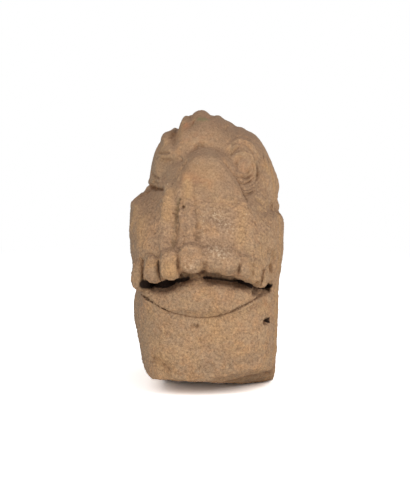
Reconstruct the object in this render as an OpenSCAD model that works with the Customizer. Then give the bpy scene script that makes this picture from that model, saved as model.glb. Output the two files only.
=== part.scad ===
// Stone corbel carved as the head of a beast, teeth bared over a bulging tongue.
// X runs to the right as the head is faced, Z is up, and the head looks along -Y.
// The origin is the middle of the flat back, where the block meets its wall.

/* [Block] */
// Height of the block, from its bed to the broken crown
block_h = 355; // [290:1:425]
// Width of the block across the cheeks
block_w = 198; // [160:1:240]
// How far the front teeth stand out from the wall
projection = 236; // [195:1:285]

/* [Snout] */
// Half width of the snout at its bridge
bridge_half_w = 16; // [12:0.5:22]
// How much each half of the snout widens per millimetre down
snout_flare = 0.66; // [0.5:0.01:0.8]
// Height of the bridge above the middle of the block
bridge_z = 124; // [112:1:132]
// Radius of the two carved ribs beside the snout
rib_r = 9; // [6:0.5:11]

/* [Mouth] */
// Height of the middle teeth, root to tip
tooth_h = 34; // [26:1:42]
// Radius that rounds the teeth
tooth_r = 8.5; // [6:0.5:8.5]
// How far the tooth tips overhang the tongue
overhang = 23; // [14:1:30]
// Height of the mouth line at its middle, from the middle of the block
mouth_z = -14; // [-22:1:-6]
// How far the mouth line falls to its corners
mouth_drop = 33; // [24:1:40]
// Swell of the tongue in front of the chin
tongue_swell = 6; // [3:0.5:12]

/* [Eyes] */
// Radius of the lid ring round the whole eye
lid_r = 15; // [11:0.5:18]
// Radius of the eyeball
eyeball_r = 11; // [7:0.5:12]
// Depth of the eye sockets
socket_depth = 8; // [4:0.5:12]

/* [Hidden] */

sandstone = [0.67, 0.54, 0.42];
saw_margin = 6;                // stone behind the wall plane and below the bed, sawn off flat
big = 2 * block_h;             // more than the block, for the cuts

// Horizontal sections of the block at its drawn size, from the bed to the crown:
// height, left and right half width, depth at the middle, how far the left and
// the right side run straight out from the wall, and how square the corners are.
drawn_h = 355;
drawn_w = 198;
drawn_projection = 236;
sections = [
    [-184, 78, 87, 188,  95, 105, 3.0],
    [-155, 81, 89, 194, 100, 110, 3.0],
    [-135, 84, 90, 198, 100, 112, 2.9],
    [-110, 88, 91, 199,  95, 112, 2.9],
    [ -88, 92, 92, 198,  80, 108, 2.8],
    [ -66, 91, 92, 200,  70,  95, 2.7],
    [ -40, 92, 94, 206,  60,  75, 2.6],
    [ -10, 99, 98, 224,  55,  60, 2.6],
    [  16, 101, 99, 221, 55,  52, 2.7],
    [  40, 100, 95, 204, 60,  50, 2.8],
    [  56, 97, 89, 180,  62,  52, 2.8],
    [  65, 91, 90, 158,  60,  56, 2.8],
    [  73, 78, 91, 142,  52,  58, 2.7],
    [  88, 77, 87, 136,  50,  56, 2.6],
    [ 106, 74, 81, 134,  50,  54, 2.5],
    [ 124, 69, 72, 131,  50,  52, 2.4],
    [ 138, 60, 62, 127,  50,  50, 2.3],
    [ 150, 48, 46, 120,  50,  50, 2.3],
    [ 160, 34, 27, 112,  48,  48, 2.2],
    [ 168, 20, 12, 102,  48,  48, 2.0]
];
left_w = 1;
right_w = 2;
middle_d = 3;
left_side = 4;
right_side = 5;
squareness = 6;
ring_step = 5.8;               // height between the rings of the stone's skin
ring_points = 50;              // points round the carved face of one ring

width_k = block_w / drawn_w;
depth_k = projection / drawn_projection;
height_k = block_h / drawn_h;
bed_z = sections[0][0] * height_k + saw_margin;     // the flat rear part of the underside

function mix(a, b, t) = a + (b - a) * t;
function ease(t) = let (c = max(0, min(1, t))) c * c * (3 - 2 * c);
function bump(d) = exp(-d * d);
function soft_max(a, b, k) = let (h = max(0, k - abs(a - b)) / k) max(a, b) + h * h * k / 4;

// A smooth curve through one column of the sections, at height z.
function row_below(z, i = 0) =
    i >= len(sections) - 2 || z < sections[i + 1][0] ? i : row_below(z, i + 1);
function drawn(z, col) =
    let (
        i = row_below(z),
        t = (z - sections[i][0]) / (sections[i + 1][0] - sections[i][0]),
        a = sections[max(i - 1, 0)][col],
        b = sections[i][col],
        c = sections[i + 1][col],
        d = sections[min(i + 2, len(sections) - 1)][col]
    )
    b + 0.5 * t * (c - a + t * (2 * a - 5 * b + 4 * c - d + t * (3 * (b - c) + d - a)));

function half_width(x, z) = drawn(z / height_k, x < 0 ? left_w : right_w) * width_k;
function side_depth(x, z) = drawn(z / height_k, x < 0 ? left_side : right_side) * depth_k;
function block_depth(x, z) =
    let (
        side = side_depth(x, z),
        n = drawn(z / height_k, squareness),
        across = min(1, abs(x) / half_width(x, z))
    )
    side + (drawn(z / height_k, middle_d) * depth_k - side) * pow(1 - pow(across, n), 1 / n);

// The snout is a wedge that widens and comes forward until the muzzle takes it in.
snout_x = 2;
function snout_half(z) = min(58 * width_k, bridge_half_w + (bridge_z - z) * snout_flare);
function snout_depth(x, z) =
    let (
        down = max(0, min(1, (bridge_z - z) / (bridge_z - 10))),
        ridge = projection * mix(0.67, 0.945, pow(down, 0.8)),
        half = max(8, snout_half(z)),
        aside = abs(x - snout_x)
    )
    ridge
    - 0.33 * half * pow(aside / half, 2.4)
    - 1.7 * max(0, aside - half)
    - 3.5 * max(0, z - bridge_z)
    - 45 * ease((45 - z) / 50);

// Eye sockets: a deep round one on the right, a shallow worn one on the left.
right_eye_x = 48;
left_eye_x = -51;
eye_z = 107;
function sockets(x, z) =
    -socket_depth * bump(norm([(x - right_eye_x) / 15, (z - eye_z) / 17]))
    - 0.8 * socket_depth * bump(norm([(x - left_eye_x) / 13, (z - eye_z) / 18]));

// The tooth tips follow an arch that falls to the corners of the mouth.
function mouth_line(x) = mouth_z - mouth_drop * pow(abs(x) / ((x < 0 ? 90 : 82) * width_k), 2.3);

// Behind the tips the face steps back to the tongue, which swells out again
// and ends at the crease above the chin.
tip_hang = 12;
crease_z = -68;
crease_rise = 13;
mouth_x = -4;
mouth_half = 80 * width_k;
function crease_line(x) = crease_z + crease_rise * pow(min(1, abs(x - mouth_x) / mouth_half), 2);
function mouth(x, z) =
    let (
        inside = ease((mouth_half + 6 - abs(x - mouth_x)) / 14),
        under = ease((mouth_line(x) + tip_hang + 4 - z) / 10),
        tall = max(6, mouth_line(x) - crease_line(x)),
        down = (mouth_line(x) - z) / tall
    )
    inside * under * (
        -overhang * ease(0.8 - 1.4 * down)
        + tongue_swell * ease(2 * down) * ease((1.08 - down) / 0.14)
    );

// How far the stone stands out from the wall at x and z, without and with the mouth.
function face_depth(x, z) = soft_max(block_depth(x, z), snout_depth(x, z), 18)
    + sockets(x, z) * ease((half_width(x, z) - abs(x)) / 12);
function skin_depth(x, z) = max(side_depth(x, z), face_depth(x, z) + mouth(x, z));

function ring(z) =
    let (left = half_width(-1, z), right = half_width(1, z), bias = 1.8 / drawn(z / height_k, squareness))
    concat(
        [[-left, saw_margin, z]],
        [for (i = [0 : ring_points]) let (
            a = mix(-90, 90, i / ring_points),
            x = sign(a) * (a < 0 ? left : right) * pow(abs(sin(a)), bias)
        ) [x, -skin_depth(x, z), z]],
        [[right, saw_margin, z]]
    );

module stone_mass() {
    foot = sections[0][0] * height_k;
    crown = sections[len(sections) - 1][0] * height_k;
    steps = ceil((crown - foot) / ring_step);
    rings = [for (i = [0 : steps]) ring(mix(foot, crown, i / steps))];
    n = len(rings[0]);
    sides = [for (i = [0 : steps - 1]) for (j = [0 : n - 1]) for (upper = [false, true])
        let (a = i * n + j, b = i * n + (j + 1) % n)
        upper ? [b, a + n, b + n] : [a, a + n, b]];
    bottom = [for (j = [1 : n - 2]) [0, j, j + 1]];
    top = [for (j = [1 : n - 2]) [steps * n, steps * n + j + 1, steps * n + j]];
    polyhedron(points = [for (r = rings) for (p = r) p], faces = concat(sides, bottom, top));
}

// A round rib laid along the face through points of x and z, proud of it by a share of r.
module rib(path, r, proud) {
    for (i = [0 : len(path) - 2])
        hull()
            for (p = [path[i], path[i + 1]])
                translate([p[0], r * (1 - proud) - face_depth(p[0], p[1]), p[1]])
                    sphere(r, $fn = 12);
}

outer_rib = [[-41, 84], [-43, 52], [-44, 16]];
inner_rib = [[-20, 98], [-17, 62], [-14, 18]];
groove = [[-31, 76], [-32, 48], [-34, 16]];

// Teeth, from the left corner of the mouth to the right: where each sits across
// the face, its width, its height as a share of tooth_h, and how far it swells out.
teeth = [
    [-88, 25, 1.00, 6],
    [-66, 24, 0.97, 9],
    [-41, 27, 1.05, 9],
    [-12, 30, 1.00, 8],
    [ 13, 27, 0.97, 4],
    [ 34, 24, 0.95, 5],
    [ 55, 22, 0.84, 8],
    [ 69, 20, 0.95, 8],
    [ 80, 21, 0.90, 8]
];
tooth_back = 24;    // how deep a tooth is, front to back

// How far the face has turned from straight ahead at x and z, in degrees.
function turn_at(x, z) = let (d = 4) atan((block_depth(x + d, z) - block_depth(x - d, z)) / (2 * d));

module tooth(across, tall) {
    tip_narrowing = 1.5;
    r = min(tooth_r, across / 2 - tip_narrowing);
    hull()
        for (side = [-1, 1], top = [0, 1], back = [0, 1])
            translate([
                side * (across / 2 - r - (1 - top) * tip_narrowing),
                r + back * (tooth_back - 2 * r),
                top * (tall - 2 * r) + r
            ])
                sphere(r, $fn = 12);
}

module teeth_row() {
    for (t = teeth) {
        x = t[0] * width_k;
        tall = t[2] * tooth_h;
        root = mouth_line(x) + 0.7 * tall;
        translate([x, -block_depth(x, root) - t[3], mouth_line(x)])
            rotate([0, 0, -turn_at(x, root)])
                tooth(t[1] * width_k, tall);
    }
}

module right_eye() {
    lid_tube = 3.5;
    ball_proud = 5;
    translate([right_eye_x, -block_depth(right_eye_x, eye_z), eye_z])
        rotate([-6, 0, -0.6 * turn_at(right_eye_x, eye_z)]) {
            translate([0, eyeball_r - ball_proud, 0])
                scale([1, 1, 1.15])
                    sphere(eyeball_r, $fn = 26);
            rotate([90, 0, 0])
                scale([1, 1.2, 1])
                    rotate_extrude($fn = 28)
                        translate([lid_r, 0])
                            circle(lid_tube, $fn = 8);
        }
}

// What is left of the broken crown: rounded stumps over the forehead.
// Each row gives x, z and the half width and half height of a stump.
stumps = [[-8, 163, 15, 13], [-27, 155, 12, 12], [17, 155, 13, 11], [-51, 137, 11, 11]];
module crown_stumps() {
    for (s = stumps)
        translate([s[0] * width_k, -66 * depth_k, s[1] * height_k])
            scale([s[2], 36 * depth_k, s[3]])
                sphere(1, $fn = 16);
}

// Breaks under the chin. Each row gives a point on the break and how it is turned.
breaks = [
    [[  0, -194, -156], [-12.5, 2,  0]],
    [[ 66, -160, -153], [-28,  0, 35]],
    [[-83,  -60, -150], [ -3, 50,  0]]
];
module underside_breaks() {
    for (b = breaks)
        translate([b[0][0] * width_k, b[0][1] * depth_k, b[0][2] * height_k])
            rotate(b[1])
                translate([-big / 2, -big / 2, -big])
                    cube(big);
}

// A chip out of the right edge of the jaw.
module jaw_chip() {
    translate([block_w * 0.455, -projection * 0.52, -block_h * 0.253])
        rotate([45, 35, 0])
            cube(15, center = true);
}

module corbel() {
    color(sandstone)
        difference() {
            union() {
                difference() {
                    union() {
                        stone_mass();
                        rib(outer_rib, rib_r, 0.5);
                        rib(inner_rib, rib_r, 0.3);
                        right_eye();
                        crown_stumps();
                    }
                    rib(groove, 0.5 * rib_r, 1.1);
                }
                teeth_row();
            }
            underside_breaks();
            jaw_chip();
            translate([-big / 2, 0, -big / 2])
                cube(big);
            translate([-big / 2, -big / 2, bed_z - big])
                cube(big);
        }
}

corbel();
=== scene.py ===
import math
import bpy
import numpy as np
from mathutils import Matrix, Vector
from mathutils.bvhtree import BVHTree
from mathutils.kdtree import KDTree


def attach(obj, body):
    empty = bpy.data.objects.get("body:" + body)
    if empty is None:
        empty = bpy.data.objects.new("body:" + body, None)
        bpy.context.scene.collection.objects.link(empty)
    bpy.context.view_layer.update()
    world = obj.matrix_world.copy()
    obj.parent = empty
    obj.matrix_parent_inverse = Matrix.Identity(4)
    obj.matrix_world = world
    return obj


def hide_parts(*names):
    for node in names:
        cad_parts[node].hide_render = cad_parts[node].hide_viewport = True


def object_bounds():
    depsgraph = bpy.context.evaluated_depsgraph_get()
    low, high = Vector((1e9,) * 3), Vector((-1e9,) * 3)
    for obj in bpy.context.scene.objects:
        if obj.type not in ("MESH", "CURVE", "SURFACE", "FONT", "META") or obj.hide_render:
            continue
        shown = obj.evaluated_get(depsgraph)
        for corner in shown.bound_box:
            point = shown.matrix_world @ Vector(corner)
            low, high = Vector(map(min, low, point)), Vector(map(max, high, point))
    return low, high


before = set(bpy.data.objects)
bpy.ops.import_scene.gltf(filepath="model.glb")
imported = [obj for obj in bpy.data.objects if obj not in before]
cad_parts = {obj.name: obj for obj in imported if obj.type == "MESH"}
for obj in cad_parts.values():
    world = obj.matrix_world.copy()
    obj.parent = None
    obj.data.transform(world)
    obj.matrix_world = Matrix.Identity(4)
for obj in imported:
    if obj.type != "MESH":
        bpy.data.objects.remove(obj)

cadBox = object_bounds()
mm = 0.001
print("frame loaded, block", [round(high - low, 3) for low, high in zip(*cadBox)])

# The camera looks at the beast's face, a little from its left and above.
cameraSetup = {
    "azimuth": 3.0,
    "elevation": 8.0,
    "distance": 2.0,
    "lens": 113.4,
    "target": (-0.002, -0.105, 0.0026),
}


def addCamera():
    turn = math.radians(cameraSetup["azimuth"])
    lift = math.radians(cameraSetup["elevation"])
    away = Vector((math.sin(turn) * math.cos(lift), -math.cos(turn) * math.cos(lift), math.sin(lift)))
    data = bpy.data.cameras.new("camera")
    data.lens = cameraSetup["lens"]
    camera = bpy.data.objects.new("camera", data)
    bpy.context.collection.objects.link(camera)
    camera.location = Vector(cameraSetup["target"]) + away * cameraSetup["distance"]
    camera.rotation_euler = away.to_track_quat("Z", "Y").to_euler()
    bpy.context.scene.camera = camera


addCamera()

stoneBlock = {
    "node": "corbel",
    "weld": 0.01 * mm,
    "roughVoxel": 1.9 * mm,       # detail the broad forms are carved at, then the finer marks
    "fineVoxel": 1.3 * mm,
    "roughSmooth": 3,
    "fineSmooth": 1,
    "triangles": 192000,
    "nearRounds": 8,              # how far around a point counts as its surroundings
    "wideRounds": 90,
}


def selectOnly(piece):
    bpy.ops.object.select_all(action="DESELECT")
    piece.select_set(True)
    bpy.context.view_layer.objects.active = piece


def applyModifier(piece, kind, **settings):
    selectOnly(piece)
    step = piece.modifiers.new(kind.lower(), kind)
    for name, value in settings.items():
        setattr(step, name, value)
    bpy.ops.object.modifier_apply(modifier=step.name)


def copyBlock():
    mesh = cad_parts[stoneBlock["node"]].data.copy()
    mesh.materials.clear()
    stone = bpy.data.objects.new("carved_stone", mesh)
    bpy.context.collection.objects.link(stone)
    selectOnly(stone)
    bpy.ops.object.mode_set(mode="EDIT")
    bpy.ops.mesh.select_all(action="SELECT")
    bpy.ops.mesh.remove_doubles(threshold=stoneBlock["weld"])
    bpy.ops.object.mode_set(mode="OBJECT")
    return stone


def readPoints(piece):
    count = len(piece.data.vertices)
    points = np.empty(count * 3)
    normals = np.empty(count * 3)
    piece.data.vertices.foreach_get("co", points)
    piece.data.vertex_normals.foreach_get("vector", normals)
    return points.reshape(-1, 3), normals.reshape(-1, 3)


def writePoints(piece, points):
    piece.data.vertices.foreach_set("co", points.ravel())
    piece.data.update()


def neighbourMean(piece, field, rounds):
    edges = np.empty(len(piece.data.edges) * 2, dtype=np.int32)
    piece.data.edges.foreach_get("vertices", edges)
    a, b = edges.reshape(-1, 2).T
    count = len(field)
    degree = np.bincount(a, minlength=count) + np.bincount(b, minlength=count)
    for _ in range(rounds):
        total = np.empty_like(field)
        for axis in range(field.shape[1]):
            total[:, axis] = (np.bincount(a, field[b, axis], count)
                              + np.bincount(b, field[a, axis], count))
        field = 0.5 * (field + total / degree[:, None])
    return field


def ease(t):
    t = np.clip(t, 0, 1)
    return t * t * (3 - 2 * t)


pathStep = 1.0                    # millimetres between the points of a path
chisel = {
    "softReach": 2.2,             # how far a round stroke is felt, in half widths
    "crispReach": 1.05,           # the same for a flat stroke or a ledge
    "flatEdge": 0.35,             # share of a flat stroke that slopes at its edge
    "ledgeEdge": 0.12,
    "ledgeFade": 0.9,
    "tip": 0.15,                  # share of the depth left at the ends of a tapered stroke
    "inwardFrom": -1.0,           # an inward stroke sinks all that stands between these depths, in
    "inwardTo": -0.09,            # metres, which leaves the wall's half of the block alone
    "normalRounds": 4,
}


# A path is given in millimetres across and up the face, and dropped onto the stone from the front.
# It runs in one smooth curve through its marks.
def layPath(surface, marks):
    marks = np.array(marks, float)
    if len(marks) == 1:
        marks = np.vstack([marks, marks + 0.01])
    ends = np.vstack([2 * marks[0] - marks[1], marks, 2 * marks[-1] - marks[-2]])
    laid = []
    for i in range(len(marks) - 1):
        p, a, b, q = ends[i:i + 4]
        parts = max(1, int(np.linalg.norm(b - a) / pathStep))
        for t in np.arange(parts) / parts:
            laid.append(0.5 * (2 * a + t * (b - p + t * (2 * p - 5 * a + 4 * b - q
                                                         + t * (3 * (a - b) + q - p)))))
    laid.append(marks[-1])
    places = []
    outward = []
    for x, z in laid:
        hit, normal, _, _ = surface.ray_cast(Vector((x * mm, -0.5, z * mm)), Vector((0, 1, 0)))
        if hit is None:
            hit, normal, _, _ = surface.find_nearest(Vector((x * mm, -0.1, z * mm)))
        places.append(hit)
        outward.append(normal)
    return np.array(places), np.array(outward)


# One stroke of the chisel. Lift is in millimetres, below zero to cut; width is the half width.
def stroke(points, normals, surface, marks, width, lift, shape="round", taper=0.25, inward=False):
    places, outward = layPath(surface, marks)
    reach = chisel["softReach" if shape == "round" else "crispReach"] * width * mm
    low = places.min(0) - reach
    high = places.max(0) + reach
    if inward:
        low[1] = chisel["inwardFrom"]
        high[1] = chisel["inwardTo"]
    near = np.nonzero(np.all((points > low) & (points < high), axis=1))[0]
    if not len(near):
        return
    across = [0, 2] if inward else [0, 1, 2]
    gaps = np.linalg.norm(points[near][:, None, across] - places[None][:, :, across], axis=2)
    closest = gaps.argmin(1)
    d = gaps[np.arange(len(near)), closest] / (width * mm)
    if shape == "round":
        profile = np.exp(-d * d)
    elif shape == "flat":
        profile = ease((1 - d) / chisel["flatEdge"])
    else:
        tangent = np.gradient(places, axis=0)
        sideways = np.cross(tangent, outward)
        sideways /= np.linalg.norm(sideways, axis=1)[:, None] + 1e-9
        offset = ((points[near] - places[closest]) * sideways[closest]).sum(1) / (width * mm)
        if shape == "ledgeLeft":
            offset = -offset
        profile = ease(offset / chisel["ledgeEdge"]) * ease((1 - d) / chisel["ledgeFade"])
    along = closest / max(1, len(places) - 1)
    if taper > 0 and len(marks) > 1:
        profile = profile * ease(np.minimum(along, 1 - along) / taper + chisel["tip"])
    direction = np.array([0.0, -1.0, 0.0]) if inward else normals[near]
    points[near] += profile[:, None] * direction * lift * mm


def carve(piece, strokes):
    points, normals = readPoints(piece)
    normals = neighbourMean(piece, normals, chisel["normalRounds"])
    normals /= np.linalg.norm(normals, axis=1)[:, None]
    surface = BVHTree.FromObject(piece, bpy.context.evaluated_depsgraph_get())
    for mark in strokes:
        stroke(points, normals, surface, **mark)
    writePoints(piece, points)


def cut(marks, width, depth, **more):
    return dict(marks=marks, width=width, lift=-depth, **more)


def raiseUp(marks, width, height, **more):
    return dict(marks=marks, width=width, lift=height, **more)


# Teeth, from the left corner of the mouth: where each sits across the face, its width, its lower
# and upper end, how far its front stands from the wall, and how far it turns aside and leans back,
# in degrees.
toothRow = {
    "left_corner": (-87.0, 24, -47, -7, 177, 44, 4),
    "left_third": (-63.5, 23, -29, 6, 217, 27, 8),
    "left_second": (-40, 26, -24, 16, 235, 13, 9),
    "left_front": (-13.2, 31, -14, 23, 238, 3, 12),
    "worn_double": (14, 25, -14, 18, 232, -4, 16),
    "worn_double_side": (33, 28, -16, 16, 230, -9, 16),
    "right_second": (54.5, 19, -23, 10, 222, -24, 9),
    "right_third": (67.5, 16, -31, 3, 209, -38, 6),
    "right_corner": (78.5, 19, -38.5, -12, 191, -50, 4),
}
toothDepth = 26 * mm
toothRoundness = 0.68             # 0 a block, 1 a pebble
toothCuts = 9


def addTooth(name, across, width, low, high, proud, turn, lean):
    bpy.ops.object.select_all(action="DESELECT")
    bpy.ops.mesh.primitive_cube_add(size=1)
    tooth = bpy.context.object
    tooth.name = name
    bpy.ops.object.mode_set(mode="EDIT")
    bpy.ops.mesh.subdivide(number_cuts=toothCuts)
    bpy.ops.object.mode_set(mode="OBJECT")
    applyModifier(tooth, "CAST", factor=toothRoundness)
    tooth.dimensions = (width * mm, toothDepth, (high - low) * mm)
    bpy.ops.object.transform_apply(location=False, rotation=False, scale=True)
    tooth.rotation_euler = (math.radians(-lean), 0, math.radians(-turn))
    aside = math.radians(turn)
    tooth.location = (across * mm + math.sin(aside) * toothDepth / 2,
                      -proud * mm + math.cos(aside) * toothDepth / 2, (low + high) * mm / 2)
    bpy.ops.object.transform_apply(location=True, rotation=True, scale=False)
    return tooth


def joinInto(piece, parts):
    selectOnly(piece)
    for part in parts:
        part.select_set(True)
    bpy.ops.object.join()


# The dark gap between the teeth and the tongue, and the gaps between the teeth, sunk before the
# teeth are set in front of them.
mouthStrokes = [
    cut([(-72, -34), (-63, -36.5), (-50, -36.5), (-40, -33.5), (-29, -28.5)], 7.8, 24, inward=True,
        shape="flat", taper=0.3),
    cut([(-76, -40), (-64, -42), (-50, -41.5), (-36, -36), (-20, -28)], 5.0, 5, inward=True, taper=0.3),
    cut([(0, -26), (12, -29), (30, -31), (48, -35), (62, -41)], 3.8, 3, inward=True, taper=0.3),
    cut([(-46, -31.5), (-33, -28), (-23, -26), (-10, -19.5)], 6.8, 13, inward=True, shape="flat",
        taper=0.35),
    cut([(0, -20), (8, -23.5), (21, -25), (40, -27)], 6.5, 12, inward=True, shape="flat", taper=0.3),
    cut([(34, -26), (48, -30), (60, -32), (70, -38), (84, -42)], 8.0, 17, inward=True, shape="flat",
        taper=0.12),
    cut([(-75.5, 0), (-76, -40)], 3.6, 11, inward=True, shape="flat", taper=0.1),
    cut([(-75, -28), (-73, -37)], 3.4, 10, inward=True, shape="flat", taper=0),
    cut([(60, -40.5), (68, -43.5), (76, -44), (83, -41)], 6.4, 16, inward=True, shape="flat", taper=0.1),
    cut([(-53, 6), (-52, -34)], 3.6, 9, inward=True, shape="flat", taper=0.1),
    cut([(-28, 6), (-27, -28)], 3.4, 8, inward=True, shape="flat", taper=0.2),
    cut([(3, 2), (5, -22)], 4.0, 6, inward=True, taper=0.4),
    cut([(46, -6), (45, -28)], 3.2, 5, inward=True, taper=0.3),
    cut([(62, -10), (61, -36)], 3.0, 5, inward=True, taper=0.3),
]

# The broad forms.
roughStrokes = [
    # the left eye is worn flat, set back under a broken brow
    raiseUp([(-43, 103)], 9, 2.6),
    cut([(-66, 118), (-58, 117), (-48, 117), (-35, 118), (-24, 119)], 16, 2.6, shape="ledgeRight"),
    # crease between the left eye and the cheek, and the folds above it
    cut([(-88, 73), (-76, 76), (-66, 78), (-55, 80), (-46, 82)], 2.6, 3.6, taper=0.1),
    # edges of the snout, which stands out from the brow
    cut([(-21, 122), (-28, 110), (-38, 95), (-48, 82)], 5.5, 3.6),
    cut([(22, 122), (30, 111), (42, 95), (51, 79), (58, 64)], 5.0, 3.4),
    cut([(-24, 118), (-18, 128), (-8, 134), (3, 134), (14, 131), (23, 122)], 4.5, 2.4),
    raiseUp([(-14, 114), (-8, 121), (2, 124), (11, 121), (17, 114)], 5.5, 2.0),
    raiseUp([(-20, 104), (-28, 92)], 6.0, 1.5),
    # bridge notch
    cut([(-14, 132), (-6, 136)], 5.0, 2.6, taper=0),
    # roll of stone round the right eye, and the hood beside it
    raiseUp([(28, 128), (35, 138), (46, 139), (58, 131), (66, 118)], 4.5, 2.4, taper=0.15),
    cut([(62, 118), (65, 106), (66, 94), (64, 84)], 3.5, 1.4),
    raiseUp([(70, 122), (76, 106), (79, 90), (80, 74)], 6.5, 2.2),
    cut([(90, 54), (82, 58), (74, 63), (66, 69)], 4.5, 3.5, taper=0.1),
    # ribs beside the snout are worn broad and soft, with a groove between them
    raiseUp([(-47, 78), (-52, 56), (-55, 34), (-57, 18)], 9.0, 2.4, taper=0.1),
    raiseUp([(-12, 96), (-8, 74), (-3, 50), (2, 30)], 8.0, 2.6, taper=0.2),
    raiseUp([(-29, 84), (-29, 76), (-28, 70)], 5.5, 4.0, taper=0),
    raiseUp([(-28, 66), (-27, 56), (-25, 46)], 4.0, 3.6, taper=0.1),
    raiseUp([(-17, 68), (-15.5, 46), (-14, 22)], 5.0, 1.9, taper=0.15),
    cut([(-7.8, 76), (-7.4, 52), (-6.6, 22)], 3.2, 1.3, taper=0.2),
    cut([(-29, 46), (-31, 32), (-33, 19)], 3.2, 2.0, taper=0.2),
    # cheeks swell out
    raiseUp([(-72, 46), (-74, 20)], 16, 1.6, taper=0),
    raiseUp([(84, 40), (86, 22)], 14, 1.6, taper=0),
    cut([(80, 8), (86, -4), (90, -12)], 6.0, 3.0, taper=0.1),
    # gaps between the teeth
    cut([(-75.2, -2), (-75.6, -18), (-76, -34)], 1.8, 3.0, inward=True, taper=0.3),
    cut([(-53.0, 2), (-53.2, -12), (-51, -24)], 1.7, 3.0, inward=True, taper=0.3),
    cut([(-28.6, 10), (-28.0, -6), (-27, -20)], 1.7, 3.0, inward=True, taper=0.3),
    cut([(4.0, 4), (6.0, -14)], 3.4, 4.0, inward=True, taper=0.6),
    cut([(46.5, -2), (44.5, -18)], 2.2, 2.6, inward=True, taper=0.5),
    cut([(74.0, -18), (73.0, -30)], 1.8, 1.6, inward=True, taper=0.4),
    # a broken facet under the jaw on the right
    cut([(22, -163), (48, -158), (79, -155), (90, -151)], 7.5, 3.4, taper=0.2),
]

# Small corrections to the outline: height or place across, reach, and how far out, in millimetres.
outline = {
    "left": [(88, 5, 2.2), (78, 5, -4.8), (60, 7, 2.8), (28, 14, 0.4), (-28, 9, 1.0), (-72, 24, 3.6)],
    "right": [(52, 5, -4.8), (98, 16, 1.6)],
    "crown": [(-40.5, 5.5, -8.5), (-30, 5, 2.0), (-5, 9, -0.4), (4, 6, -2.8), (20, 9, -3.8),
              (35, 7, -5.0), (48, 6, -2.6)],
}
# Where each correction starts and over how far it comes in, in millimetres.
outlineFade = {"left": (58, 22), "right": (66, 22), "crown": (118, 30), "front": (40, 50)}
nickSlope = 0.14                  # nicks run back at a slight slope
nickLevel = 120                   # millimetres from the wall, where the heights above are true


def bulge(place, reach):
    return np.exp(-(place / reach) ** 2)


def fadeIn(value, name):
    start, length = outlineFade[name]
    return ease((value - start) / length)


def nudgeOutline(piece):
    points, _ = readPoints(piece)
    x, y, z = points.T / mm
    rise = z + (y + nickLevel) * nickSlope
    front = fadeIn(-y, "front")
    for height, reach, out in outline["left"]:
        depth = 1 if out < 0 else front
        points[:, 0] -= out * mm * bulge(rise - height, reach) * depth * fadeIn(-x, "left")
    for height, reach, out in outline["right"]:
        points[:, 0] += out * mm * bulge(rise - height, reach) * fadeIn(x, "right")
    for across, reach, out in outline["crown"]:
        points[:, 2] += out * mm * bulge(x - across, reach) * fadeIn(z, "crown")
    writePoints(piece, points)


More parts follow.
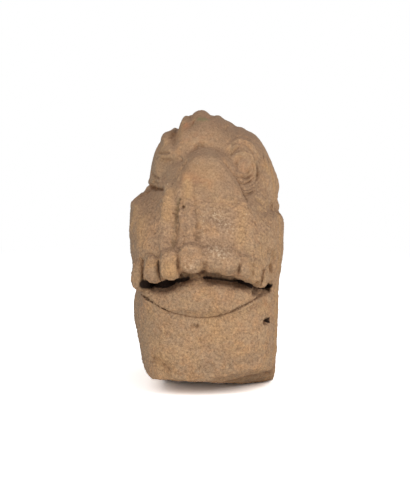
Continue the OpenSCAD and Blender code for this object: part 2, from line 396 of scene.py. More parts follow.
# The finer marks, carved on the dense skin.
fineStrokes = [
    # brow crease on the left
    cut([(-64, 121), (-56, 122.5), (-46, 123)], 1.3, 2.6),
    raiseUp([(-62, 117), (-54, 118), (-46, 118)], 2.0, 1.0),
    cut([(-36, 124), (-32, 119), (-28, 114)], 1.6, 1.6),
    cut([(-38, 112), (-48, 98), (-56, 88)], 1.4, 0.7),
    # left lid folds
    cut([(-77, 97), (-72, 95), (-66, 92), (-60, 90)], 1.4, 2.8),
    raiseUp([(-72, 90), (-65, 89), (-58, 87)], 1.8, 1.5),
    cut([(-70, 86), (-66, 85), (-60, 84)], 1.3, 2.4),
    cut([(-86, 73), (-74, 75), (-64, 77), (-50, 80)], 1.3, 3.2, taper=0.25),
    # right lid: rings round the eye
    raiseUp([(48, 111), (48, 106)], 8.0, 1.6, taper=0),
    cut([(29, 116), (35, 127), (46, 132), (57, 127), (63, 115)], 1.7, 1.3, taper=0.4),
    cut([(62, 108), (58, 97), (49, 91), (38, 97), (31, 108)], 1.7, 1.6, taper=0.3),
    cut([(37, 114), (41, 121), (48, 124), (55, 119), (57, 110)], 1.4, 0.8, taper=0.4),
    cut([(57, 108), (54, 99), (47, 96), (40, 100), (37, 108)], 1.4, 1.5, taper=0.3),
    cut([(22, 131), (29, 138), (38, 143), (50, 142), (60, 134)], 1.8, 1.3),
    cut([(25, 126), (33, 135), (45, 138), (56, 131), (63, 120)], 1.4, 0.9),
    raiseUp([(30, 133), (40, 140), (51, 137), (60, 128)], 1.8, 0.8),
    # bags under the right eye
    raiseUp([(37, 103), (44, 99), (52, 97), (59, 100)], 1.5, 1.2),
    cut([(37, 100), (44, 96), (52, 94), (59, 97)], 1.4, 2.6),
    raiseUp([(39, 97), (47, 92), (54, 91), (60, 95)], 1.4, 1.3),
    cut([(41, 92), (48, 88), (55, 89), (60, 93)], 1.4, 3.0),
    raiseUp([(44, 88), (50, 84), (57, 85)], 1.4, 0.8),
    cut([(46, 84), (52, 81), (58, 81)], 1.4, 1.4),
    cut([(48, 78), (55, 76.5), (61, 78)], 2.0, 3.4),
    # edge of the hood, and the lines that run along it
    cut([(61, 117), (64, 108), (65.5, 98), (64, 90)], 1.1, 1.8),
    cut([(58, 113), (60.5, 105), (60, 97)], 1.0, 1.4),
    raiseUp([(59, 118), (62, 108), (63, 98)], 1.2, 0.9),
    cut([(30, 131), (37, 136), (49, 134), (58, 126), (63, 112)], 1.1, 1.3, taper=0.3),
    cut([(34, 128), (42, 131), (52, 127), (58, 118)], 1.1, 1.2, taper=0.3),
    cut([(52, 139), (62, 126), (70, 110), (75, 91), (76, 74)], 1.3, 0.8),
    cut([(55, 142), (67, 128), (75, 110), (80, 90), (83, 70)], 1.3, 0.9),
    cut([(70, 127), (78, 111), (84, 93), (87, 69)], 1.3, 0.8),
    # snout edges
    cut([(-18, 120), (-27, 108), (-36, 93), (-45, 80)], 1.8, 0.6),
    raiseUp([(-24, 108), (-33, 94), (-42, 82)], 1.8, 0.9),
    cut([(19, 122), (28, 110), (40, 94), (49, 78), (57, 64)], 1.6, 1.5),
    raiseUp([(14, 120), (24, 108), (36, 92), (45, 77), (52, 62)], 1.8, 1.0),
    cut([(-14, 130), (-8, 134), (0, 132)], 2.2, 0.9),
    # groove between the ribs, with drilled pits
    cut([(-30, 74), (-31, 58), (-33, 42), (-35, 26), (-36, 16)], 2.4, 0.6, taper=0.1),
    cut([(-13, 100), (-11, 78), (-8, 54), (-5, 28)], 1.6, 1.1, taper=0.2),
    cut([(-49, 80), (-53, 60), (-56, 40), (-58, 20)], 4.0, 0.9),
    cut([(-29, 73)], 1.5, 3.0),
    cut([(-24, 64)], 1.9, 5.0),
    cut([(-30, 60)], 1.5, 3.0),
    cut([(-36, 56)], 1.2, 2.0),
    cut([(61, 46), (64, 42)], 1.5, 3.2, taper=0),
    raiseUp([(53, 57), (48, 36), (43, 12)], 3.0, 1.2),
    cut([(58, 50), (53, 32), (48, 12)], 2.4, 0.8),
    raiseUp([(14, 61), (15, 43), (15, 23)], 1.8, 0.5),
    # tops of the teeth
    cut([(-28, 12), (-25, 19), (-20, 22)], 1.8, 0.7, taper=0.1),
    cut([(-53, 4), (-49, 13), (-40, 17), (-31, 14), (-28, 6)], 1.6, 1.2, taper=0.1),
    cut([(-74, 0), (-70, 5), (-62, 7), (-55, 3)], 1.4, 1.5, taper=0.1),
    cut([(-93, -10), (-87, -6), (-78, -6)], 1.5, 1.4, taper=0.1),
    cut([(47, 2), (54, 8), (62, 5)], 1.5, 0.6, taper=0.1),
    cut([(75, -16), (80, -12), (85, -15)], 1.5, 1.0, taper=0.1),
    # gaps between the teeth, sharpened
    cut([(-75.4, -4), (-75.6, -18), (-77, -32)], 1.0, 2.0, inward=True, taper=0.3),
    cut([(-53.2, 1), (-53.4, -12), (-51, -22)], 1.1, 2.6, inward=True, taper=0.4),
    cut([(-28.8, 8), (-28.2, -6), (-27.5, -18)], 1.0, 1.4, inward=True, taper=0.4),
    cut([(46.5, 0), (46.0, -8), (44.0, -18)], 1.2, 2.4, inward=True, taper=0.4),
    cut([(62.8, 4), (62.6, -8), (61.5, -22)], 1.3, 1.8, inward=True, taper=0.4),
    cut([(75.0, -12), (73.6, -22), (71.5, -34)], 1.4, 3.0, inward=True, taper=0.3),
    cut([(62, -27), (68, -30), (72, -32)], 1.4, 1.2, inward=True, taper=0.3),
    cut([(23, 2), (23.5, -14)], 2.2, 0.7, inward=True, taper=0.4),
    # crease over the chin
    cut([(-80, -52), (-68, -57), (-57, -61), (-42, -67)], 1.5, 4.2, taper=0.12),
    cut([(-50, -64), (-36, -69), (-22, -72), (-4, -74), (15, -73)], 1.3, 1.9, taper=0.2),
    cut([(4, -74), (20, -72), (33, -67), (44, -62)], 1.3, 2.4, taper=0.3),
    cut([(34, -67), (49, -60), (60, -55), (68, -50), (78, -45)], 1.4, 3.8, taper=0.12),
    # chin: pit and ridges
    cut([(-11, -85), (-5, -84)], 3.0, 1.8),
    cut([(-14, -83), (-16, -87)], 1.8, 0.9),
    cut([(-6, -101), (2, -104), (8, -102), (15, -101)], 2.2, 0.9),
    cut([(-50, -83), (-46, -95), (-33, -107), (-14, -114), (11, -108)], 1.8, 0.9),
    cut([(-39, -90), (-28, -98), (-14, -104), (2, -100), (15, -91), (27, -81)], 1.6, 0.8),
    cut([(-26, -81), (-20, -90), (-8, -96), (4, -95)], 1.5, 0.7),
    cut([(-4, -113), (14, -108), (28, -98)], 1.8, 0.7),
    # chip at the lower left of the chin
    cut([(-68, -136), (-62, -133), (-56, -133), (-50, -136), (-45, -141), (-41, -151)], 9, 2.6,
        shape="ledgeLeft"),
    # triangular notch at the right edge of the jaw, and the edge itself
    cut([(74, -84), (78, -82), (81, -80)], 1.7, 4.2, taper=0.3),
    cut([(74, -84), (78, -84.8), (81, -86)], 1.7, 4.2, taper=0.3),
    cut([(77.5, -83.4), (81, -83)], 2.8, 7.0, taper=0),
    cut([(87, -50), (86, -96), (85, -140)], 2.0, 0.9),
    # corner of the mouth and the hollow above it
    cut([(78, -46), (83, -50)], 2.4, 2.0, taper=0),
    cut([(77, 15), (84, 6), (91, -4)], 1.4, 1.0),
    cut([(79, 6), (85, -2), (91, -10)], 1.4, 1.0),
    cut([(83.5, -13), (84, -21)], 3.8, 4.6, taper=0),
    cut([(70, 22), (76, 14), (81, 4)], 1.3, 1.4),
    cut([(64, 28), (70, 18)], 1.3, 1.1),
    # crown
    cut([(-36, 158), (-33, 166)], 2.2, 2.4),
    cut([(-21, 156), (-16, 165)], 2.2, 2.4),
    cut([(-47, 140), (-42, 149)], 2.2, 2.0),
    cut([(24, 150), (28, 162)], 2.2, 1.6),
    cut([(40, 146), (42, 152)], 2.0, 1.4),
]

# Short random dabs of the chisel: across and up from, across and up to, how many, slope in degrees.
toolMarks = {
    "left_cheek": (-93, 0, -58, 62, 46, 70),
    "right_cheek": (60, -14, 96, 46, 60, -35),
    "left_brow": (-76, 86, -38, 120, 54, 0),
    "crown": (-46, 128, 56, 166, 34, 15),
    "snout": (-30, 30, 50, 110, 36, 80),
    "teeth": (-28, -14, 46, 20, 34, 60),
    "chin": (-84, -148, 84, -76, 70, 20),
}
markSize = {"length": 6, "width": 1.3, "depth": 0.9, "sway": 22, "taper": 0.5}
markLifts = [-1.0, -0.7, 0.5, 0.8]         # shares of the depth, below zero for a cut


def chiselMarks(seed=4):
    chance = np.random.default_rng(seed)
    marks = []
    for left, low, right, high, count, slope in toolMarks.values():
        for _ in range(count):
            x = chance.uniform(left, right)
            z = chance.uniform(low, high)
            lean = math.radians(slope + chance.normal(0, markSize["sway"]))
            half = markSize["length"] * chance.uniform(0.3, 0.8) / 2
            run = (half * math.cos(lean), half * math.sin(lean))
            width = markSize["width"] * chance.uniform(0.7, 1.5)
            lift = markSize["depth"] * chance.choice(markLifts) * chance.uniform(0.4, 1)
            marks.append(dict(marks=[(x - run[0], z - run[1]), (x + run[0], z + run[1])],
                              width=width, lift=lift, taper=markSize["taper"]))
    return marks


# Weathering: size of the lumps, how far they stand, and detail, in millimetres.
skinNoise = [
    (34, 3.4, 1),
    (13, 2.2, 2),
    (5.0, 1.5, 1),
    (2.6, 1.5, 0),
]
smoothBrow = {"from": 50, "to": 110, "keep": 0.3}      # the brow is worn smoother than the jaws
eyeLines = {
    "centre": (48, 109),
    "tall": 1.15,                 # the rings are this much taller than wide
    "from": 15,
    "fadeIn": 8,
    "reach": 42,
    "fadeOut": 16,
    "spacing": 3.4,
    "depth": 0.42,
    "waver": 1.6,
    "backTo": -0.05,              # metres from the wall, none are cut behind this
    "snoutGap": 7,                # they die out over this distance from the edge of the snout
}
# The edge of the snout beside the eye, from the eye's centre: where it bends, and its two slopes.
snoutEdge = {"bend": 13, "across": -26, "upper": 1.6, "lower": 0.62}


def weightByHeight(piece):
    points, _ = readPoints(piece)
    high = ease((points[:, 2] / mm - smoothBrow["from"]) / (smoothBrow["to"] - smoothBrow["from"]))
    group = piece.vertex_groups.new(name="weathering")
    weights = 1 - (1 - smoothBrow["keep"]) * high
    levels = np.round(weights, 2)
    for level in np.unique(levels):
        group.add(np.nonzero(levels == level)[0].tolist(), float(level), "REPLACE")
    return group.name


def roughen(piece):
    group = weightByHeight(piece)
    for size, height, detail in skinNoise:
        texture = bpy.data.textures.new("lumps" + str(size), "CLOUDS")
        texture.noise_scale = size * mm
        texture.noise_depth = detail
        applyModifier(piece, "DISPLACE", texture=texture, texture_coords="LOCAL", strength=height * mm,
                      mid_level=0.5, vertex_group=group)


# Shallow tool lines that run round the right eye and along the hood.
def drawEyeLines(piece):
    points, normals = readPoints(piece)
    x, z = (points[:, [0, 2]] / mm - np.array(eyeLines["centre"])).T
    away = np.hypot(x, z / eyeLines["tall"])
    around = np.arctan2(z, x)
    waver = eyeLines["waver"] * np.sin(3 * around)
    ripple = np.sin(2 * math.pi * away / eyeLines["spacing"] + waver + np.sin(7 * around))
    area = ease((away - eyeLines["from"]) / eyeLines["fadeIn"])
    area = area * ease((eyeLines["reach"] - away) / eyeLines["fadeOut"])
    area = area * (points[:, 1] < eyeLines["backTo"])
    below = snoutEdge["bend"] - z
    upper = snoutEdge["upper"] * below / snoutEdge["lower"]
    edge = np.where(below > 0, below, upper) * snoutEdge["lower"] + snoutEdge["across"]
    area = area * ease((x - edge) / eyeLines["snoutGap"])
    points += (ripple * area)[:, None] * normals * eyeLines["depth"] * mm
    writePoints(piece, points)


# The back was sawn off: faint, slightly bowed lines across it.
sawLines = {"spacing": 7.0, "depth": 0.22, "bow": 4, "bowLength": 60, "slope": 0.05}
sawFade = {"least": 0.6, "swing": 0.4, "up": 19, "across": 37}        # the lines come and go
backFacing = (0.9, 0.08)          # how squarely a place has to face the wall to count as the back


def drawSawLines(piece):
    points, normals = readPoints(piece)
    x, z = points[:, [0, 2]].T / mm
    bowed = z + sawLines["bow"] * np.sin(x / sawLines["bowLength"]) + sawLines["slope"] * x
    ripple = np.sin(2 * math.pi * bowed / sawLines["spacing"])
    come = np.sin(z / sawFade["up"] + x / sawFade["across"])
    ripple = ripple * (sawFade["least"] + sawFade["swing"] * come)
    start, length = backFacing
    flatBack = ease((normals[:, 1] - start) / length)
    points[:, 1] -= (0.5 + 0.5 * ripple) * flatBack * sawLines["depth"] * mm
    writePoints(piece, points)


# How far each point lies below its surroundings, in millimetres.
def hollowness(piece, rounds):
    points, normals = readPoints(piece)
    smooth = neighbourMean(piece, points, rounds)
    return ((smooth - points) * normals).sum(1) / mm


stone = copyBlock()
applyModifier(stone, "REMESH", mode="VOXEL", voxel_size=stoneBlock["roughVoxel"])
carve(stone, mouthStrokes)
joinInto(stone, [addTooth(name, *sizes) for name, sizes in toothRow.items()])
applyModifier(stone, "REMESH", mode="VOXEL", voxel_size=stoneBlock["roughVoxel"])
applyModifier(stone, "SMOOTH", factor=0.5, iterations=stoneBlock["roughSmooth"])
nudgeOutline(stone)
print("rough block", len(stone.data.vertices))
carve(stone, roughStrokes)
applyModifier(stone, "REMESH", mode="VOXEL", voxel_size=stoneBlock["fineVoxel"])
applyModifier(stone, "SMOOTH", factor=0.5, iterations=stoneBlock["fineSmooth"])
carve(stone, fineStrokes + chiselMarks())
print("carved", len(stone.data.vertices))
drawEyeLines(stone)
roughen(stone)
drawSawLines(stone)
hollows = {
    "nearHollow": hollowness(stone, stoneBlock["nearRounds"]),
    "wideHollow": hollowness(stone, stoneBlock["wideRounds"]),
}
densePoints, _ = readPoints(stone)
print("weathered")
applyModifier(stone, "DECIMATE", ratio=min(1, stoneBlock["triangles"] / (2 * len(stone.data.polygons))))
print("thinned to", len(stone.data.polygons))


def addLayer(piece, name, values):
    layer = piece.data.attributes.new(name, "FLOAT", "POINT")
    layer.data.foreach_set("value", values.astype(np.float32))


def keepHollows(piece, dense, values):
    tree = KDTree(len(dense))
    for i, place in enumerate(dense):
        tree.insert(place, i)
    tree.balance()
    nearest = np.array([tree.find(vertex.co)[1] for vertex in piece.data.vertices])
    for name, value in values.items():
        addLayer(piece, name, value[nearest])


# Stains, painted shade and painted light, laid on with a soft brush: marks across and up the face, half
# width and strength.
stains = {
    # soot: dirt and painted shadow in the gap of the mouth, between the teeth, in the creases, pits and the
    # notch
    "sootAndShadow": [
        ([(-75, -36), (-64, -38), (-50, -38), (-38, -34)], 5.6, 1.3),
        ([(-40, -33), (-28, -29.5), (-18, -26)], 3.8, 0.9),
        ([(2, -23), (9, -25)], 2.2, 0.9),
        ([(10, -25), (24, -27), (44, -31)], 2.4, 0.7),
        ([(44, -31), (56, -34), (69, -42), (78, -43.5), (83, -41)], 3.4, 1.1),
        ([(-80, -52), (-68, -57), (-57, -61), (-42, -67)], 1.5, 0.75),
        ([(34, -67), (49, -60), (60, -55), (68, -50), (78, -45)], 1.4, 0.5),
        ([(-76, -24), (-76, -38)], 1.6, 0.6),
        ([(-53.2, 0), (-53.4, -12), (-51, -26)], 1.3, 0.6),
        ([(-24, 64), (-24, 63)], 1.8, 0.7),
        ([(-30, 73), (-29, 72)], 1.6, 0.4),
        ([(-30, 60), (-30, 59)], 1.5, 0.35),
        ([(61, 46), (64, 42)], 1.3, 0.45),
        ([(-75, 96), (-72, 95), (-65, 92)], 1.2, 0.4),
        ([(-70, 86), (-62, 84)], 1.2, 0.35),
        ([(49, 78), (55, 76.5), (60, 78)], 1.6, 0.5),
        ([(76.5, -83.4), (81.4, -81)], 2.0, 0.9),
        ([(76.5, -84.2), (81.4, -85.4)], 2.0, 0.9),
    ],
    # brown: brown stain and painted shade along creases, under the teeth and between them, in the notch and
    # on the broken facet under the jaw
    "brownAndShade": [
        ([(-86, 73), (-74, 75), (-64, 77), (-50, 80)], 2.4, 0.9),
        ([(-44, -66), (-22, -72), (15, -73), (34, -67)], 1.3, 0.55),
        ([(34, -67), (49, -60), (68, -50)], 1.8, 0.6),
        ([(-28.4, 8), (-27.6, -6), (-26.5, -20)], 1.8, 0.6),
        ([(-66, -31), (-52, -29.5), (-40, -25.5), (-27, -21)], 2.4, 0.7),
        ([(-24, -17), (-12, -16), (0, -17)], 3.0, 0.8),
        ([(8, -17), (24, -18), (40, -20)], 2.6, 0.5),
        ([(46, -8), (44, -18)], 1.5, 0.6),
        ([(83.5, -13), (84, -21)], 4.0, 0.8),
        ([(75.0, -14), (73.6, -24), (71.5, -34)], 1.6, 0.6),
        ([(-12, -85), (-5, -84)], 2.4, 0.5),
        ([(-63, 122), (-55, 124), (-47, 123)], 1.5, 0.5),
        ([(-14, 131), (-8, 136), (-2, 133)], 3.0, 0.25),
        ([(22, -162), (48, -157), (79, -154), (90, -150)], 6.0, 0.45),
        ([(75, -84), (81, -82)], 2.4, 0.9),
        ([(-66, -135), (-56, -134), (-48, -138), (-42, -150)], 1.6, 0.5),
        ([(55, 76), (62, 78)], 3.5, 0.3),
        ([(37, 100), (44, 96), (52, 94), (59, 97)], 1.2, 0.5),
        ([(41, 92), (48, 88), (55, 89), (60, 93)], 1.2, 0.6),
        ([(61, 117), (64, 108), (65.5, 98), (64, 90)], 1.0, 0.5),
    ],
    "dust": [
        ([(16, 55), (24, 48), (32, 40)], 8, 1.0),
        ([(15, 15), (28, 8)], 8, 1.0),
        ([(-16, 0), (-12, -8)], 7, 0.8),
        ([(-62, -40), (-46, -41)], 2.0, 0.6),
        ([(52, -70), (58, -68)], 2.4, 1.0),
        ([(36, 121), (38, 123)], 1.8, 1.2),
        ([(-70, 90), (-64, 89), (-58, 87)], 1.4, 1.0),
        ([(2, 58), (0, 30)], 1.6, 0.8),
    ],
    "moss": [
        ([(-10, 166), (-1, 166)], 3.8, 1.3),
        ([(-18, 158), (-10, 162)], 3.0, 0.3),
        ([(-30, 72), (-31, 58)], 2.6, 0.5),
        ([(-31, 58), (-34, 34), (-36, 16)], 2.6, 0.25),
    ],
    "rust": [
        ([(-31, 160), (-22, 158)], 9, 0.55),
        ([(-40, 146), (-34, 148)], 8, 0.3),
        ([(4, 166), (12, 160)], 8, 0.35),
        ([(-18, 140), (-6, 146)], 9, 0.25),
        ([(78, -58), (82, -72)], 7, 0.5),
        ([(46, 110), (48, 102)], 8, 0.3),
        ([(-84, 72), (-70, 76)], 4, 0.3),
        ([(-36, -8), (-40, -2)], 8, 0.25),
        ([(-30, 96), (-14, 98), (4, 92)], 9, 0.3),
        ([(76, 118), (84, 96)], 6, 0.3),
        ([(36, -16), (48, -20)], 5, 0.35),
    ],
    # grey wash: the worn grey patch round the left eye and a little on the left cheek, and painted shade in
    # strips along the left edge of the face and jaw and on the lower left of the chin
    "greyWashAndSideShade": [
        ([(-56, 110), (-48, 100), (-42, 90)], 14, 0.5),
        ([(-60, 96), (-66, 88)], 8, 0.5),
        ([(-62, 14), (-78, 4)], 11, 0.15),
        ([(-97, 40), (-98, 0)], 5, 1.2),
        ([(-94, -50), (-93, -90)], 6, 1.0),
        ([(-80, 90), (-72, 118)], 6, 0.8),
        ([(0, 134), (12, 120)], 8, 0.4),
        ([(20, -22), (24, 18)], 12, 0.35),
        ([(-70, -90), (-76, -130)], 12, 0.7),
    ],
    # ochre wash: ochre stains, and painted light on the right side, which faces the key lamp
    "ochreWashAndSideLight": [
        ([(-40, -4), (-38, -14)], 9, 0.9),
        ([(-20, 96), (-19, 78)], 7, 0.9),
        ([(-20, 104), (-4, 108), (12, 102)], 12, 0.4),
        ([(0, 100), (10, 88)], 12, 0.4),
        ([(-42, 80), (-43, 50)], 7, 0.7),
        ([(50, 56), (47, 24)], 9, 0.7),
        ([(82, 110), (86, 80), (88, 66)], 6, 0.8),
        # the right side, painted lighter as light from the key lamp, with its orange tone
        ([(94, 44), (95, 0), (92, -20)], 7, 1.0),
        ([(90, -50), (90, -132)], 6, 0.9),
        ([(-80, 40), (-78, 20)], 14, 0.6),
        ([(-90, 50), (-94, 30)], 8, 0.7),
        ([(-40, 150), (-34, 146)], 8, 0.6),
        ([(10, -80), (16, -96)], 14, 0.6),
        ([(-55, -130), (-50, -146)], 10, 0.5),
        ([(62, -146), (70, -150)], 8, 0.6),
    ],
}


brushReach = 2.5                  # half widths


def brush(points, surface, marks, width, amount):
    places, _ = layPath(surface, marks)
    reach = brushReach * width * mm
    inside = (points > places.min(0) - reach) & (points < places.max(0) + reach)
    near = np.nonzero(np.all(inside, axis=1))[0]
    gaps = np.linalg.norm(points[near, None, :] - places[None, :, :], axis=2).min(1) / (width * mm)
    return near, amount * np.exp(-gaps * gaps)


def stain(piece):
    points, _ = readPoints(piece)
    surface = BVHTree.FromObject(piece, bpy.context.evaluated_depsgraph_get())
    for name, washes in stains.items():
        amount = np.zeros(len(points))
        for marks, width, density in washes:
            near, laid = brush(points, surface, marks, width, density)
            amount[near] = np.maximum(amount[near], laid)
        addLayer(piece, name, amount)


keepHollows(stone, densePoints, hollows)
stain(stone)
selectOnly(stone)
bpy.ops.object.shade_smooth()
print("stained")

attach(stone, "root")
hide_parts("corbel")


def shade(red, green, blue):
    return tuple(((c / 255 + 0.055) / 1.055) ** 2.4 for c in (red, green, blue)) + (1.0,)


def addNode(tree, kind, **settings):
    node = tree.nodes.new(kind)
    for name, value in settings.items():
        if hasattr(node, name):
            setattr(node, name, value)
        else:
            node.inputs[name].default_value = value
    return node


def maths(tree, operation, first, second):
    node = tree.nodes.new("ShaderNodeMath")
    node.operation = operation
    for socket, value in zip(node.inputs, (first, second)):
        if isinstance(value, (int, float)):
            socket.default_value = value
        else:
            tree.links.new(value, socket)
    return node.outputs[0]


def spread(tree, value, low, high, start=0.0, end=1.0):
    node = addNode(tree, "ShaderNodeMapRange", interpolation_type="SMOOTHSTEP")
    for name, number in zip(("From Min", "From Max", "To Min", "To Max"), (low, high, start, end)):
        node.inputs[name].default_value = number
    tree.links.new(value, node.inputs["Value"])
    return node.outputs["Result"]


def noise(tree, place, scale, detail, roughness=0.55):
    node = addNode(tree, "ShaderNodeTexNoise", Scale=scale, Detail=detail, Roughness=roughness)
    tree.links.new(place, node.inputs["Vector"])
    return node.outputs["Fac"]


def shift(tree, place, offset):
    node = addNode(tree, "ShaderNodeMapping")
    node.inputs["Location"].default_value = offset
    tree.links.new(place, node.inputs["Vector"])
    return node.outputs["Vector"]


def colourMix(tree, factor, under, over, blend="MIX"):
    node = tree.nodes.new("ShaderNodeMix")
    node.data_type = "RGBA"
    node.blend_type = blend
    for name, value in (("Factor", factor), ("A", under), ("B", over)):
        socket = node.inputs[name]
        if isinstance(value, (int, float, tuple)):
            socket.default_value = value
        else:
            tree.links.new(value, socket)
    return node.outputs["Result"]


def newGroup(name, inputs, outputs):
    group = bpy.data.node_groups.new(name, "ShaderNodeTree")
    for label, kind in inputs:
        group.interface.new_socket(label, in_out="INPUT", socket_type=kind)
    for label, kind in outputs:
        group.interface.new_socket(label, in_out="OUTPUT", socket_type=kind)
    return group, group.nodes.new("NodeGroupInput"), group.nodes.new("NodeGroupOutput")


grainNoise = {                    # scale against the size of a grain, and roughness
    "fine": (1.0, 0.7),
    "middle": (0.36, 0.6),
}
grainSpecks = {                   # offset, scale, and where in the noise they start and are full
    "Dark Specks": ((1, 9, 4), 0.6, 0.66, 0.74),
    "Pale Flecks": ((5, 2, 8), 0.5, 0.73, 0.79),
}


# Grains of sand: a speckle of light and dark, and the height they stand at.
def sandGrain():
    group, start, end = newGroup("sand_grain", [("Place", "NodeSocketVector"), ("Size", "NodeSocketFloat")],
                                 [("Speckle", "NodeSocketFloat"), ("Height", "NodeSocketFloat"),
                                  ("Dark Specks", "NodeSocketFloat"), ("Pale Flecks", "NodeSocketFloat")])
    scaled = addNode(group, "ShaderNodeVectorMath", operation="SCALE")
    group.links.new(start.outputs["Place"], scaled.inputs[0])
    group.links.new(maths(group, "DIVIDE", 1.0, start.outputs["Size"]), scaled.inputs["Scale"])
    place = scaled.outputs[0]
    scale, roughness = grainNoise["fine"]
    fine = noise(group, place, scale, 2.0, roughness)
    scale, roughness = grainNoise["middle"]
    middle = noise(group, shift(group, place, (7, 3, 1)), scale, 2.0, roughness)
    halves = [maths(group, "MULTIPLY", part, 0.5) for part in (fine, middle)]
    group.links.new(maths(group, "ADD", *halves), end.inputs["Speckle"])
    height = maths(group, "ADD", maths(group, "MULTIPLY", fine, 0.4), middle)
    group.links.new(height, end.inputs["Height"])
    for label, (offset, scale, low, high) in grainSpecks.items():
        found = spread(group, noise(group, shift(group, place, offset), scale, 1.0), low, high)
        group.links.new(found, end.inputs[label])
    return group


# Broad blotches in the stone, from 0 to 1.
def blotches():
    group, start, end = newGroup("blotches", [("Place", "NodeSocketVector"), ("Scale", "NodeSocketFloat")],
                                 [("Mask", "NodeSocketFloat")])
    node = addNode(group, "ShaderNodeTexNoise", Detail=2.0, Roughness=0.5, Distortion=0.6)
    group.links.new(start.outputs["Place"], node.inputs["Vector"])
    group.links.new(start.outputs["Scale"], node.inputs["Scale"])
    group.links.new(spread(group, node.outputs["Fac"], 0.42, 0.66), end.inputs["Mask"])
    return group


stoneFinish = {
    "buff": shade(176, 144, 112),
    "ochre": shade(186, 146, 102),
    "grey": shade(154, 129, 103),
    "pink": shade(170, 134, 107),
    "orange": shade(186, 136, 92),
    "dusk": shade(152, 124, 101),
    "rust": shade(172, 110, 72),
    # dark brown of stains and of painted shade
    "brownAndShade": shade(104, 68, 42),
    "moss": shade(112, 112, 78),
    # grime on the tops, which also stands for painted shade on them
    "grimeAndTopShade": shade(142, 113, 89),
    # grey-brown of the painted shade on the left-facing sides
    "leftShadeGrey": shade(128, 110, 92),
    "dirtAndShade": shade(104, 75, 50),
    # dark brown of dirt: the dark specks of the grain, and painted shade in hollows and recesses
    "sootAndShadow": shade(34, 20, 11),
    # near black of soot and of painted shadow
    "fleck": shade(214, 196, 170),
    "grainSize": 0.0011,          # metres
    "speckle": 0.48,
    "bump": 1.0,
    "bumpDistance": 0.0008,
    "specular": 0.25,
    "wornFrom": 30 * mm,          # the brow above this is worn smoother, with fainter grain
    "wornTo": 105 * mm,
    "wornGrain": 0.7,
    "roughness": 0.9,
    "roughSwing": 0.08,
}
# Blotches of another colour in the stone: colour, scale, offset and strength.
stoneBlotches = [
    ("grey", 24, (0, 0, 0), 0.5),
    ("ochre", 36, (3, 1, 2), 0.4),
    ("pink", 18, (6, 4, 5), 0.4),
    ("orange", 85, (1, 7, 2), 0.3),
    ("dusk", 70, (9, 2, 4), 0.3),
]
# Where each mask starts and where it is full. Hollows are in millimetres below the surroundings.
masks = {
    "edges": (-0.05, -0.45),
    "hollows": (0.05, 0.6),
    "recess": (0.3, 3.0),
    # the deepest hollows, painted near black as shadow
    "pitch": (3.5, 6.5),          # mostly the gaps of the mouth, then the crease under the left eye
    "upward": (0.1, 0.9),
    # left-facing sides, painted darker as shade
    "leftSideShade": (-0.7, -0.97),
    "swing": (0.25, 0.75),
    "ragged": (0.3, 0.6),
    "powdery": (0.5, 0.64),
    "sootAndShadow": (0.12, 0.72),
    "rough": (0.2, 0.8),
}
# How strongly each stain or mask shows.
strength = {
    "leftSideShade": 0.75,
    "upward": 0.95,
    "greyWashAndSideShade": 0.75,
    "ochreWashAndSideLight": 0.7,
    "edges": 0.12,
    "hollows": 0.16,
    "recess": 0.45,
    "darkSpecks": 0.25,
    "paleFlecks": 0.5,
    "rust": 0.75,
    "moss": 0.7,
    "dust": 0.6,
    "brownAndShade": 0.75,
    "pitch": 0.95,
}


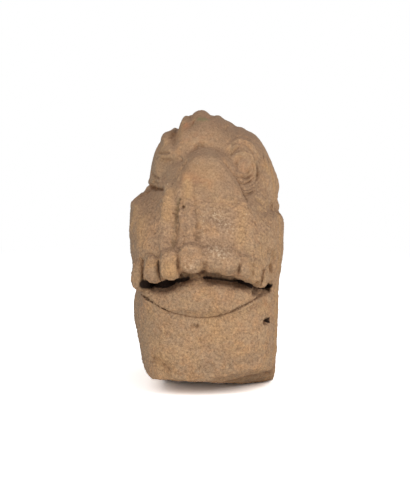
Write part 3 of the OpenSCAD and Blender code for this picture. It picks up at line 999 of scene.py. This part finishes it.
def sandstone():
    material = bpy.data.materials.new("weathered_sandstone")
    material.use_nodes = True
    tree = material.node_tree
    shader = tree.nodes["Principled BSDF"]
    finish = stoneFinish
    shader.inputs["Specular IOR Level"].default_value = finish["specular"]
    place = tree.nodes.new("ShaderNodeTexCoord").outputs["Object"]

    def layer(name):
        return addNode(tree, "ShaderNodeAttribute", attribute_name=name).outputs["Fac"]

    def blotch(scale, offset):
        node = addNode(tree, "ShaderNodeGroup", node_tree=blotchGroup)
        node.inputs["Scale"].default_value = scale
        tree.links.new(shift(tree, place, offset), node.inputs["Place"])
        return node.outputs["Mask"]

    # lays a colour over the rest where the mask is high
    def wash(under, mask, amount, name):
        return colourMix(tree, maths(tree, "MULTIPLY", mask, amount), under, finish[name])

    grain = addNode(tree, "ShaderNodeGroup", node_tree=grainGroup)
    grain.inputs["Size"].default_value = finish["grainSize"]
    tree.links.new(place, grain.inputs["Place"])
    speckle = grain.outputs["Speckle"]

    near = layer("nearHollow")
    wide = layer("wideHollow")
    split = tree.nodes.new("ShaderNodeSeparateXYZ")
    tree.links.new(place, split.inputs[0])
    worn = (finish["wornFrom"], finish["wornTo"], 1.0, finish["wornGrain"])
    crisp = spread(tree, split.outputs["Z"], *worn)
    edges = maths(tree, "MULTIPLY", spread(tree, near, *masks["edges"]), crisp)
    hollows = spread(tree, near, *masks["hollows"])
    recess = spread(tree, wide, *masks["recess"])
    facing = tree.nodes.new("ShaderNodeSeparateXYZ")
    tree.links.new(tree.nodes.new("ShaderNodeNewGeometry").outputs["Normal"], facing.inputs[0])
    upward = spread(tree, facing.outputs["Z"], *masks["upward"])
    leftSideShade = spread(tree, facing.outputs["X"], *masks["leftSideShade"], 0.0, strength["leftSideShade"])

    colour = finish["buff"]
    for name, scale, offset, amount in stoneBlotches:
        colour = wash(colour, blotch(scale, offset), amount, name)
    # the left-facing sides are painted grey-brown as shade, on the side turned from the key lamp
    colour = colourMix(tree, leftSideShade, colour, finish["leftShadeGrey"])
    # upward-facing faces are painted darker: grime that gathers on tops, and painted shade that tones down
    # the light from above
    colour = wash(colour, upward, strength["upward"], "grimeAndTopShade")
    # grey wash, partly painted shade on the left
    colour = wash(colour, layer("greyWashAndSideShade"), strength["greyWashAndSideShade"], "grey")
    # ochre wash, partly painted light on the right side
    colour = wash(colour, layer("ochreWashAndSideLight"), strength["ochreWashAndSideLight"], "ochre")
    colour = wash(colour, edges, strength["edges"], "ochre")
    # hollows and recesses are painted darker: dirt settled in them, and painted shade where little light
    # reaches
    colour = wash(colour, hollows, strength["hollows"], "dirtAndShade")
    colour = wash(colour, recess, strength["recess"], "dirtAndShade")

    # the grains lighten and darken all that lies under the specks and the fresher stains
    swing = spread(tree, speckle, *masks["swing"], 1 - finish["speckle"], 1 + finish["speckle"])
    brighten = tree.nodes.new("ShaderNodeCombineColor")
    for socket in brighten.inputs:
        tree.links.new(swing, socket)
    colour = colourMix(tree, crisp, colour, brighten.outputs[0], "MULTIPLY")
    colour = wash(colour, grain.outputs["Dark Specks"], strength["darkSpecks"], "dirtAndShade")
    colour = wash(colour, grain.outputs["Pale Flecks"], strength["paleFlecks"], "fleck")

    patchy = maths(tree, "MULTIPLY", blotch(70, (2, 8, 3)), strength["rust"])
    colour = wash(colour, layer("rust"), patchy, "rust")
    ragged = maths(tree, "MULTIPLY", spread(tree, speckle, *masks["ragged"]), strength["moss"])
    colour = wash(colour, layer("moss"), ragged, "moss")
    powdery = spread(tree, speckle, *masks["powdery"], 0.0, strength["dust"])
    colour = wash(colour, layer("dust"), powdery, "fleck")
    # brown stain and painted shade in creases and under the teeth
    colour = wash(colour, layer("brownAndShade"), strength["brownAndShade"], "brownAndShade")
    # the deepest hollows are painted near black: painted shadow in the gaps of the mouth and the deepest
    # creases
    pitch = spread(tree, wide, *masks["pitch"], 0.0, strength["pitch"])
    colour = colourMix(tree, pitch, colour, finish["sootAndShadow"])
    # the soot layer: dirt and painted shadow in the gaps, creases and pits
    colour = colourMix(tree, spread(tree, layer("sootAndShadow"), *masks["sootAndShadow"]), colour, finish["sootAndShadow"])
    tree.links.new(colour, shader.inputs["Base Color"])

    smoothest = finish["roughness"] - finish["roughSwing"]
    roughest = finish["roughness"] + finish["roughSwing"]
    rough = spread(tree, speckle, *masks["rough"], smoothest, roughest)
    tree.links.new(rough, shader.inputs["Roughness"])
    bump = addNode(tree, "ShaderNodeBump", Strength=finish["bump"], Distance=finish["bumpDistance"])
    tree.links.new(maths(tree, "MULTIPLY", grain.outputs["Height"], crisp), bump.inputs["Height"])
    tree.links.new(bump.outputs["Normal"], shader.inputs["Normal"])
    return material


grainGroup = sandGrain()
blotchGroup = blotches()
stone.data.materials.append(sandstone())
print("sandstone ready")

# A pale floor that turns to plain white away from the stone and keeps its shadow.
studio = {
    "floorRadius": 4.0,
    "floorSides": 96,
    "floorTone": 0.8,
    "seenTone": 2.2,              # the floor's tone as the camera sees it, bright enough to clear to white
    "clearFrom": 0.55,            # metres from the stone where the floor starts to turn white
    "clearTo": 1.2,
    "worldStrength": 0.45,
    "lampAim": (0, -0.1, 0),
}
lamps = {                         # place, size in metres, power in watts
    "key": ((1.6, -1.5, 1.45), 1.4, 29),
    "fill": ((-1.1, -2.1, 1.1), 1.7, 25),
}


def addLamp(name, place, size, power):
    data = bpy.data.lights.new(name, "AREA")
    data.size = size
    data.energy = power
    lamp = bpy.data.objects.new(name, data)
    bpy.context.collection.objects.link(lamp)
    lamp.location = place
    lamp.rotation_euler = (Vector(place) - Vector(studio["lampAim"])).to_track_quat("Z", "Y").to_euler()


def seen(tree):
    rays = tree.nodes.new("ShaderNodeLightPath")
    seenNow = maths(tree, "MAXIMUM", rays.outputs["Is Camera Ray"], rays.outputs["Is Glossy Ray"])
    return maths(tree, "MAXIMUM", seenNow, rays.outputs["Is Transmission Ray"])


def floorMaterial():
    material = bpy.data.materials.new("pale_floor")
    material.use_nodes = True
    tree = material.node_tree
    shader = tree.nodes["Principled BSDF"]
    tone = studio["floorTone"]
    shader.inputs["Base Color"].default_value = (tone, tone, tone, 1)
    shader.inputs["Roughness"].default_value = 1.0
    shader.inputs["Specular IOR Level"].default_value = 0.0
    place = tree.nodes.new("ShaderNodeTexCoord").outputs["Object"]
    away = addNode(tree, "ShaderNodeVectorMath", operation="LENGTH")
    tree.links.new(place, away.inputs[0])
    far = spread(tree, away.outputs["Value"], studio["clearFrom"], studio["clearTo"])
    lifted = tree.nodes.new("ShaderNodeBsdfDiffuse")
    lifted.inputs["Color"].default_value = (studio["seenTone"],) * 3 + (1,)
    clear = addNode(tree, "ShaderNodeEmission", Strength=1.0)
    shown = tree.nodes.new("ShaderNodeMixShader")
    tree.links.new(far, shown.inputs[0])
    tree.links.new(lifted.outputs[0], shown.inputs[1])
    tree.links.new(clear.outputs[0], shown.inputs[2])
    split = tree.nodes.new("ShaderNodeMixShader")
    tree.links.new(seen(tree), split.inputs[0])
    tree.links.new(shader.outputs[0], split.inputs[1])
    tree.links.new(shown.outputs[0], split.inputs[2])
    tree.links.new(split.outputs[0], tree.nodes["Material Output"].inputs["Surface"])
    return material


def studioWorld():
    world = bpy.data.worlds.new("studio")
    world.use_nodes = True
    tree = world.node_tree
    background = tree.nodes["Background"]
    background.inputs["Color"].default_value = (1, 1, 1, 1)
    level = addNode(tree, "ShaderNodeMapRange")
    level.inputs["To Min"].default_value = studio["worldStrength"]
    level.inputs["To Max"].default_value = 1.0
    tree.links.new(seen(tree), level.inputs["Value"])
    tree.links.new(level.outputs[0], background.inputs["Strength"])
    bpy.context.scene.world = world


bpy.ops.mesh.primitive_circle_add(vertices=studio["floorSides"], radius=studio["floorRadius"],
                                  fill_type="NGON")
floor = bpy.context.object
floor.name = "floor"
floor.location = (0, 0, cadBox[0][2])
bpy.ops.object.transform_apply(location=True, rotation=False, scale=False)
floor.data.materials.append(floorMaterial())
studioWorld()
for name, settings in lamps.items():
    addLamp(name, *settings)
bpy.context.scene.view_settings.view_transform = "Standard"
print("studio ready")

print("done")
